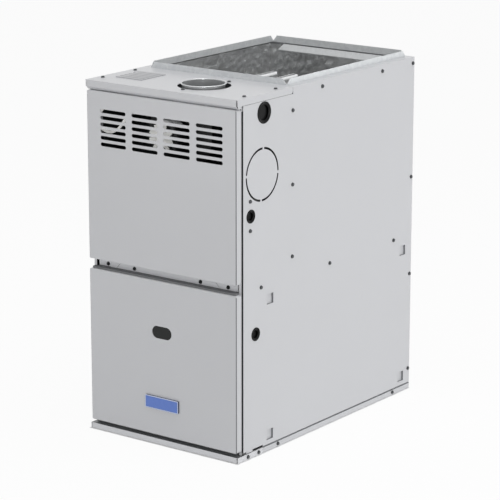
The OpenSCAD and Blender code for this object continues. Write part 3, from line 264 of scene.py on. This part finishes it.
def badge_plate():
    """Bare blue enamelled plate: pale worn top on its raised rim, dark navy on its edges."""
    material, tree, bsdf, place = new_finish("badge_plate", {"IOR": 1.5, "Coat Weight": 0.3})
    rim, edge = Vector((2.5, 0.0, 2.5)) * MM, Vector((0.15, 0.0, 0.15)) * MM
    ahead = Vector((0.0, MM, 0.0))
    low, high = (Vector(corner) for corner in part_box("badge"))
    mottle = noise(tree, place, 8.0)
    blue = blend_colours(tree, mottle, colour("#5377cb"), colour("#6082d2"))
    top = within(tree, place, low + edge - ahead, Vector((high.x, low.y + 0.3 * MM, high.z)) - edge)
    field = within(tree, place, low + rim - ahead, high - rim)
    shade = blend_colours(tree, top, colour("#1d2a52"), colour("#c9d2e8"))
    shade = blend_colours(tree, field, shade, blue)
    tree.links.new(shade, bsdf.inputs["Base Color"])
    roughness_range(tree, bsdf, mottle, 0.25, 0.38)
    return material


def smoked_window():
    """Smoked polycarbonate window, nearly black from outside."""
    material, tree, bsdf, place = new_finish("smoked_window", {"IOR": 1.45, "Specular IOR Level": 0.35})
    haze = noise(tree, place, 12.0, 3.0)
    shade = blend_colours(tree, haze, colour("#0d0f0e"), colour("#151817"))
    tree.links.new(shade, bsdf.inputs["Base Color"])
    roughness_range(tree, bsdf, haze, 0.2, 0.3)
    return material


def circuit_board():
    """Green solder resist over glass epoxy, with pale tracks about 5 mm apart."""
    material, tree, bsdf, place = new_finish("circuit_board", {"IOR": 1.5})
    tracks = add(tree, "ShaderNodeTexBrick", {"Vector": place, "Scale": 90.0, "Color1": colour("#1f5a3c"),
                                              "Color2": colour("#246544"), "Mortar": colour("#3f8a62")})
    tree.links.new(tracks.outputs["Color"], bsdf.inputs["Base Color"])
    roughness_range(tree, bsdf, tracks.outputs["Fac"], 0.3, 0.45)
    return material


ENAMEL_TINT = ("#cecfd2", "#d0d1d4")
RECESS_SHADE_TINT = "#85878a"
RECESS_SIZE = 25.0
RECESS_DEPTHS = (113, 673)
RECESS_HEIGHTS = (27, 357.6)
PAINT_DEPTH = 0.6 * MM
FULL_HEIGHT = (0.0, 900.0)
FULL_WIDTH = (-1.0, 222.0)
RAIL_HEIGHT = (12.4, 31.0)
DOOR_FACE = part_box("lower_door")[0][1]
DOOR_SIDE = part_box("upper_door")[1][0]
panel_low, panel_high = (Vector(corner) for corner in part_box("side_panel_right"))
deck_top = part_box("blower_deck")[1][2]
room_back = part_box("vestibule_panel")[1][1]


def patch(x, depth, z, tint):
    """A box in millimetres on the right half, with depth measured from the doors' face, and its mirror."""
    sides = [(x[0] * MM, x[1] * MM), (-x[1] * MM, -x[0] * MM)]
    y = [DOOR_FACE + d * MM for d in depth]
    return [((a, y[0], z[0] * MM), (b, y[1], z[1] * MM), tint) for a, b in sides]


def primed_box(side):
    """The part of a side panel's inner face that looks into the burner room."""
    inner, outer = panel_low.x - MM, panel_high.x - PAINT_DEPTH
    x = (inner, outer) if side > 0 else (-outer, -inner)
    return [((x[0], panel_low.y - MM, deck_top), (x[1], room_back, panel_high.z - PAINT_DEPTH), PRIMER)]


def recess_span(start):
    return start - 0.5, start + RECESS_SIZE + 0.5


# painted shade on the walls of the embossed corners of the side return openings
recess_wall_shade = [walls for depth in RECESS_DEPTHS for z in RECESS_HEIGHTS
                for walls in patch((217.5, 222.1), recess_span(depth), recess_span(z), RECESS_SHADE_TINT)]
# painted shade: dark lines down the doors' bent side edges
door_bend_shade = patch((DOOR_SIDE / MM - 1.9, DOOR_SIDE / MM + 0.5), (-0.5, 1.9), FULL_HEIGHT, "#7b7d80")
# painted shade on the channels' hidden legs, and on their webs beside the doors, where the gaps to the side
# panels lie in shadow
channel_leg_shade = (patch((204.0, 217.9), (19.05, 37.0), FULL_HEIGHT, "#1d1e20")
                + patch((218.0, 219.6), (19.05, 37.0), FULL_HEIGHT, "#3a3b3d"))
# painted shade on the base rail's top under the lower door, darkest at its front edge
rail_top_shade = patch(FULL_WIDTH, (0.55, 26.0), RAIL_HEIGHT, "#737577")
rail_edge_shade = patch(FULL_WIDTH, (0.55, 4.0), RAIL_HEIGHT, "#434547")
# painted shade along the seam between the side panels and the base pan
pan_seam_shade = patch((221.0, 223.0), (99.0, 727.0), (12.2, 17.0), "#6f7174")

enamel = cabinet_enamel("cabinet_enamel", ENAMEL_TINT)
enamel_door = cabinet_enamel("cabinet_enamel_door", ENAMEL_TINT, door_bend_shade)
enamel_channel = cabinet_enamel("cabinet_enamel_channel", ENAMEL_TINT, channel_leg_shade)
# The base rail's enamel is a lighter copy: painted light, with the painted shade above on its top.
enamel_rail_lightened = cabinet_enamel("cabinet_enamel_rail_lightened", ("#dbdcdf", "#dddee1"), rail_top_shade + rail_edge_shade)
enamel_pan = cabinet_enamel("cabinet_enamel_pan", ENAMEL_TINT, pan_seam_shade)
# The mid rail's enamel is a lighter copy: painted light on the rail in the shade between the doors.
enamel_mid_lightened = cabinet_enamel("cabinet_enamel_mid_rail_lightened", ("#dcdde0", "#dedfe2"))
# The hoods' enamel is a darker copy: painted shade on the louvres.
enamel_hood_shaded = cabinet_enamel("cabinet_enamel_hood_shaded", ("#b3b4b7", "#b7b8bb"))
enamel_right = cabinet_enamel("cabinet_enamel_right", ENAMEL_TINT, primed_box(1) + recess_wall_shade)
enamel_left = cabinet_enamel("cabinet_enamel_left", ENAMEL_TINT, primed_box(-1) + recess_wall_shade)
zinc = galvanised_sheet("galvanised_sheet", ("#999c9e", "#aaadaf"))
zinc_flange = galvanised_sheet("galvanised_flange", ("#d8dbdd", "#e6e9ea"), 0.15)
# A darker copy of the galvanised sheet for the burner room's deck, panel and collector box: painted shade.
zinc_shaded = galvanised_sheet("galvanised_sheet_shaded", ("#55585a", "#636668"), 0.85)
cell_metal = aluminised_steel("aluminised_cells", ("#dcddde", "#f0f1f1"), 0.35, 0.5)
collar_metal = collar_steel()
# The top band of the inducer motor is painted near white: a painted highlight on the shell.
HIGHLIGHT_BAND = 12 * MM
motor_low, motor_high = (Vector(corner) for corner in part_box("inducer_motor"))
motor_top_highlight = [(Vector((motor_low.x, motor_low.y - MM, motor_high.z - HIGHLIGHT_BAND)),
              motor_high + Vector((0, MM, MM)), "#f0f1f2")]
motor_shell = dark_enamel("inducer_motor_enamel", ("#141516", "#1e1f20"), 0.3, 0.42, motor_top_highlight)
housing_coat = dark_enamel("black_housing_coat", ("#0c0d0e", "#151617"), 0.4, 0.55)
baffle_metal = aluminised_steel("aluminised_baffle", ("#aeb0b1", "#c6c8c9"), 0.35, 0.5)
ground_steel = machine_metal("ground_steel", ("#b5b7b9", "#cbcdce"), 0.18, 0.3)
rail_low, rail_high = (Vector(corner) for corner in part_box("mid_rail"))
rail_screws = [(rail_low - Vector((0, 10, 0)) * MM, rail_high, "#1a1b1c")]
zinc_plate = machine_metal("zinc_plated_screws", ("#505254", "#66686a"), 0.3, 0.44, 0.9, 1.0, rail_screws)
die_cast = machine_metal("die_cast_alloy", ("#9da0a2", "#b3b5b7"), 0.4, 0.55, 0.9, 1.5)
brass = machine_metal("turned_brass", ("#b98d47", "#cda45c"), 0.2, 0.32, 1.0, 1.0)
foil = foil_faced_glass_fibre()
black_plug = moulded_plastic("black_plug_nylon", ("#040405", "#080809"), 0.28, 0.4, 0.15)
switch_plastic = moulded_plastic("dark_switch_phenolic", ("#232425", "#2e3031"), 0.4, 0.55)
pale_plastic = moulded_plastic("pale_moulded_plastic", ("#dcdcd6", "#e6e5e0"), 0.35, 0.5)
red_plastic = moulded_plastic("red_moulded_plastic", ("#b02a24", "#bf342c"), 0.3, 0.42)
foam = moulded_plastic("closed_cell_foam", ("#707173", "#7e7f81"), 0.8, 0.95)
# The hose and the fan are given a faint glow: painted light, which makes them show bright in the dark burner
# room.
silicone = moulded_plastic("silicone_hose", ("#f4f3ef", "#faf9f6"), 0.35, 0.5, 0.5, 0.3)
fan_nylon = moulded_plastic("white_fan_nylon", ("#f2f2ee", "#f9f9f6"), 0.3, 0.42, 0.5, 0.12)
motor_black = dark_enamel("motor_black_enamel", ("#1c1d1e", "#292b2c"), 0.4, 0.55)
motor_grey = dark_enamel("motor_grey_enamel", ("#606466", "#707476"), 0.4, 0.55)
pipe_black = dark_enamel("black_iron_pipe", ("#252628", "#333537"), 0.45, 0.6)
board = circuit_board()
badge_finish = badge_plate()
window = smoked_window()

FINISH = {
    "side_panel_left": enamel_left, "side_panel_right": enamel_right, "back_panel": enamel,
    "top_plate": enamel,
    "duct_flange_front": zinc_flange, "duct_flange_back": zinc_flange, "duct_flange_left": zinc_flange,
    "duct_flange_right": zinc_flange, "door_channel_left": enamel_channel,
    "door_channel_right": enamel_channel, "mid_rail": enamel_mid_lightened, "base_rail": enamel_rail_lightened,
    "base_pan": enamel_pan, "blower_deck": zinc_shaded,
    "vestibule_panel": zinc_shaded, "foil_liner": foil, "rear_baffle": baffle_metal, "heat_cells": cell_metal,
    "collector_box": zinc_shaded, "inducer_housing": housing_coat, "inducer_motor": motor_shell,
    "inducer_wheel": zinc,
    "inducer_shaft": ground_steel, "inducer_fan": fan_nylon, "flue_collar": collar_metal,
    "burner_box": zinc, "burners": cell_metal, "gas_manifold": pipe_black, "gas_orifices": brass,
    "gas_valve": die_cast, "gas_valve_knob": red_plastic, "igniter": pale_plastic,
    "flame_sensor": pale_plastic, "rollout_switches": switch_plastic, "reset_button_left": red_plastic,
    "reset_button_right": red_plastic, "limit_switch": switch_plastic, "pressure_switch": pale_plastic,
    "pressure_hose": silicone, "blower_scroll": zinc, "blower_sides": zinc, "blower_rails": zinc,
    "blower_wheel": zinc, "blower_blades": zinc, "blower_shaft": ground_steel, "blower_motor": motor_grey,
    "motor_mount": motor_black, "control_board": board, "transformer": motor_black,
    "junction_box": housing_coat, "door_switch": switch_plastic, "door_switch_plunger": pale_plastic,
    "capacitor": die_cast, "upper_door": enamel_door, "lower_door": enamel_door, "door_seal": foam,
    "sight_glass": window, "badge": badge_finish, "side_plugs": black_plug, "screws": zinc_plate,
}
for node_name, finish in FINISH.items():
    mesh = NODES[node_name].data
    mesh.materials.clear()
    mesh.materials.append(finish)


# ---------- pieces modelled here, in millimetres with depth from the doors' face ----------
def spot(x, depth, z):
    return Vector((x * MM, DOOR_FACE + depth * MM, z * MM))


def block(name, low, high):
    """A block between two corners, with its object at the origin."""
    bpy.ops.object.select_all(action="DESELECT")
    bpy.ops.mesh.primitive_cube_add(size=1.0, location=(low + high) / 2)
    piece = bpy.context.object
    piece.scale = high - low
    bpy.ops.object.transform_apply(location=True, rotation=True, scale=True)
    piece.name = piece.data.name = name
    return piece


def pick_faces(piece, wanted):
    """Leaves the piece in edit mode with the faces selected that wanted(centre, normal) asks for."""
    bpy.ops.object.mode_set(mode="EDIT")
    bpy.ops.mesh.select_mode(type="FACE")
    bpy.ops.mesh.select_all(action="DESELECT")
    bpy.ops.object.mode_set(mode="OBJECT")
    for face in piece.data.polygons:
        face.select = wanted(face.center, face.normal)
    bpy.ops.object.mode_set(mode="EDIT")


def pick_edges(piece, wanted):
    """The same for edges, by wanted(one end, other end)."""
    bpy.ops.object.mode_set(mode="EDIT")
    bpy.ops.mesh.select_mode(type="EDGE")
    bpy.ops.mesh.select_all(action="DESELECT")
    bpy.ops.object.mode_set(mode="OBJECT")
    points = piece.data.vertices
    for edge in piece.data.edges:
        edge.select = wanted(*(points[i].co for i in edge.vertices))
    bpy.ops.object.mode_set(mode="EDIT")


def finish_piece(piece, material, body="cabinet", smooth_angle=40.0):
    """Out of edit mode, modifiers applied, edges smoothed, painted, and riding on its body."""
    if bpy.context.mode != "OBJECT":
        bpy.ops.object.mode_set(mode="OBJECT")
    bpy.ops.object.select_all(action="DESELECT")
    piece.select_set(True)
    bpy.context.view_layer.objects.active = piece
    for modifier in list(piece.modifiers):
        bpy.ops.object.modifier_apply(modifier=modifier.name)
    bpy.ops.object.shade_smooth_by_angle(angle=math.radians(smooth_angle))
    piece.data.materials.clear()
    piece.data.materials.append(material)
    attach(piece, body)


# Pressed hoods over the top plate's six vent slots: sheet pushed up by 2 mm, open towards the back
HOOD_COUNT = 6
HOOD_FIRST, HOOD_PITCH = 72.0, 15.84
HOOD_SIDES = (-185.5, -106.5)
HOOD_FRONT, HOOD_BACK = -5.8, 4.6
HOOD_RISE = 2.0
HOOD_ROUND = 1.7
HOOD_WALL = 0.7
PLATE_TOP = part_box("back_panel")[1][2] / MM


def vent_hood(name, depth):
    hood = block(name, spot(HOOD_SIDES[0], depth + HOOD_FRONT, PLATE_TOP - 0.8),
                 spot(HOOD_SIDES[1], depth + HOOD_BACK, PLATE_TOP + HOOD_RISE))
    top = (PLATE_TOP + HOOD_RISE) * MM
    back = DOOR_FACE + (depth + 4) * MM
    pick_edges(hood, lambda a, b: min(a.z, b.z) > top - MM / 10 and min(a.y, b.y) < back)
    bpy.ops.mesh.bevel(offset=HOOD_ROUND * MM, segments=4)
    pick_faces(hood, lambda centre, normal: normal.y > 0.9 or normal.z < -0.9)
    bpy.ops.mesh.delete(type="FACE")
    bpy.ops.object.mode_set(mode="OBJECT")
    wall = hood.modifiers.new("wall", "SOLIDIFY")
    wall.thickness = HOOD_WALL * MM
    wall.offset = -1.0
    return hood


for number in range(HOOD_COUNT):
    finish_piece(vent_hood("vent_hood_%d" % (number + 1), HOOD_FIRST + number * HOOD_PITCH), enamel_hood_shaded)


# Bent end tabs that carry the channels' webs up to the top plate's lip
TAB_WEB = (218.3, 219.3)
TAB_DEPTHS = (19.3, 34.0)
TAB_HEIGHTS = (826.2, 838.8)
TAB_STEP = 832.2
TAB_REACH = 11.8


def channel_tab(name, side):
    web = sorted(side * x for x in TAB_WEB)
    tab = block(name, spot(web[0], TAB_DEPTHS[0], TAB_HEIGHTS[0]), spot(web[1], TAB_DEPTHS[1], TAB_HEIGHTS[1]))
    bpy.ops.object.mode_set(mode="EDIT")
    bpy.ops.mesh.select_all(action="SELECT")
    bpy.ops.mesh.bisect(plane_co=spot(0, 0, TAB_STEP), plane_no=(0, 0, 1))
    pick_faces(tab, lambda centre, normal: normal.y < -0.9 and centre.z > (TAB_STEP + 0.1) * MM)
    bpy.ops.mesh.extrude_region_move(TRANSFORM_OT_translate={"value": (0, -TAB_REACH * MM, 0)})
    bpy.ops.mesh.select_all(action="SELECT")
    bpy.ops.mesh.bevel(offset=0.25 * MM, segments=2)
    return tab


finish_piece(channel_tab("channel_tab_right", 1), enamel)
finish_piece(channel_tab("channel_tab_left", -1), enamel)


# Foil faced glass fibre round the heat exchanger room: three crinkled boards butted in the corners
CELL = 4.5
FACE_IN = 10.7
BOARD = 4.5
BOARD_GAP = 1.2
CORNER = 12.0
# label, texture, pattern size in metres, depth in millimetres
CRINKLE = (("creases", "VORONOI", 0.021, 4.2), ("swells", "CLOUDS", 0.06, 2.0))
foil_low, foil_high = (Vector(corner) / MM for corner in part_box("foil_liner"))
foil_low.y, foil_high.y = (y - DOOR_FACE / MM for y in (foil_low.y, foil_high.y))


def foil_board(name, centre, turn, wide, tall):
    """A crinkled sheet seen from inside the room; its board lies behind it, towards the cabinet's wall."""
    bpy.ops.object.select_all(action="DESELECT")
    bpy.ops.mesh.primitive_grid_add(x_subdivisions=int(wide / CELL), y_subdivisions=int(tall / CELL),
                                    size=1.0, location=centre, rotation=turn)
    board = bpy.context.object
    board.scale = (wide * MM, tall * MM, 1.0)
    bpy.ops.object.transform_apply(location=True, rotation=True, scale=True)
    board.name = board.data.name = name
    for label, kind, size, depth in CRINKLE:
        pattern = bpy.data.textures.new(name + "_" + label, kind)
        pattern.noise_scale = size
        if kind == "VORONOI":
            pattern.weight_1, pattern.weight_2 = -1.0, 1.0
        press = board.modifiers.new(label, "DISPLACE")
        press.texture = pattern
        press.texture_coords = "LOCAL"
        press.mid_level = 0.5 if kind == "VORONOI" else 1.0
        press.strength = depth * MM
        bpy.ops.object.modifier_apply(modifier=label)
    thick = board.modifiers.new("board", "SOLIDIFY")
    thick.thickness = BOARD * MM
    thick.offset = -1.0
    bpy.ops.object.modifier_apply(modifier="board")
    return board


half_turn = math.pi / 2
middle = (foil_low + foil_high) / 2
span = foil_high - foil_low
foil_tall = span.z - BOARD_GAP
boards = [foil_board("foil_left", spot(foil_low.x + FACE_IN, middle.y, middle.z),
                     (half_turn, 0, half_turn), span.y, foil_tall),
          foil_board("foil_right", spot(foil_high.x - FACE_IN, middle.y, middle.z),
                     (half_turn, 0, -half_turn), span.y, foil_tall),
          foil_board("foil_back", spot(0, foil_high.y - FACE_IN, middle.z),
                     (half_turn, 0, 0), span.x - CORNER, foil_tall)]
bpy.ops.object.select_all(action="DESELECT")
for board in boards:
    board.select_set(True)
bpy.context.view_layer.objects.active = boards[0]
bpy.ops.object.join()
foil_blanket = boards[0]
foil_blanket.name = foil_blanket.data.name = "foil_blanket"
finish_piece(foil_blanket, foil, "cabinet", 30.0)
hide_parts("foil_liner")


# ---------- floor and light ----------
GROUND_SIZE = 80.0
GROUND_GAP = 0.0006
PAPER_GLOW = 0.94
WHITE = (1.0, 1.0, 1.0, 1.0)


def shows_white(tree):
    """1 for the rays that look at the background, straight or by a reflection, and 0 for the rest."""
    rays = add(tree, "ShaderNodeLightPath")
    seen = rays.outputs["Is Camera Ray"]
    for kind in ("Is Glossy Ray", "Is Transmission Ray"):
        seen = add(tree, "ShaderNodeMath", {0: seen, 1: rays.outputs[kind]},
                   operation="MAXIMUM").outputs["Value"]
    return seen


def pale_ground():
    """Seamless white paper: shows as white and keeps a soft part of the shadow. Under the cabinet it is
    plain paper, so it is dark there when seen through the openings."""
    material = bpy.data.materials.new("white_paper_ground")
    material.use_nodes = True
    tree = material.node_tree
    tree.nodes.clear()
    output = add(tree, "ShaderNodeOutputMaterial")
    paper = add(tree, "ShaderNodeBsdfDiffuse", {"Color": (0.9, 0.9, 0.9, 1.0)})
    glow = add(tree, "ShaderNodeEmission", {"Color": WHITE, "Strength": 1.0})
    place = add(tree, "ShaderNodeTexCoord").outputs["Object"]
    below = Vector((0.0, 0.0, 1.0))
    covered = within(tree, place, cad_box[0] - below, cad_box[1])
    open_floor = add(tree, "ShaderNodeMath", {0: PAPER_GLOW, 1: covered}, operation="SUBTRACT", use_clamp=True)
    part = add(tree, "ShaderNodeMath", {0: shows_white(tree), 1: open_floor.outputs["Value"]},
               operation="MULTIPLY")
    mix = add(tree, "ShaderNodeMixShader", {0: part.outputs["Value"], 1: paper.outputs["BSDF"],
                                            2: glow.outputs["Emission"]})
    tree.links.new(mix.outputs["Shader"], output.inputs["Surface"])
    return material


bpy.ops.object.select_all(action="DESELECT")
bpy.ops.mesh.primitive_plane_add(size=GROUND_SIZE, location=(0.0, 0.0, -GROUND_GAP))
ground = bpy.context.object
ground.name = "ground"
ground.data.materials.append(pale_ground())

world = bpy.data.worlds.new("studio")
bpy.context.scene.world = world
world.use_nodes = True
sky = world.node_tree
sky.nodes.clear()
sky_output = add(sky, "ShaderNodeOutputWorld")
sky_soft = add(sky, "ShaderNodeBackground", {"Color": WHITE, "Strength": 0.36})
sky_white = add(sky, "ShaderNodeBackground", {"Color": WHITE, "Strength": 1.0})
sky_mix = add(sky, "ShaderNodeMixShader", {0: shows_white(sky), 1: sky_soft.outputs["Background"],
                                           2: sky_white.outputs["Background"]})
sky.links.new(sky_mix.outputs["Shader"], sky_output.inputs["Surface"])


LAMP_AIM = Vector((0.0, 0.0, 0.45))


def soft_box(name, position, size, power):
    """A big square lamp that points at the middle of the cabinet."""
    light = bpy.data.lights.new(name, "AREA")
    light.shape = "SQUARE"
    light.size = size
    light.energy = power
    lamp = bpy.data.objects.new(name, light)
    lamp.location = position
    lamp.rotation_euler = (LAMP_AIM - Vector(position)).to_track_quat("-Z", "Y").to_euler()
    bpy.context.scene.collection.objects.link(lamp)


soft_box("lamp_right", (3.2, 0.8, 0.1), 1.8, 52.0)
soft_box("lamp_front", (-1.2, -3.0, 0.1), 1.6, 18.5)
soft_box("lamp_camera", (3.2, -4.45, 2.0), 0.5, 38.0)
soft_box("lamp_top", (0.9, -0.2, 4.2), 3.0, 62.0)
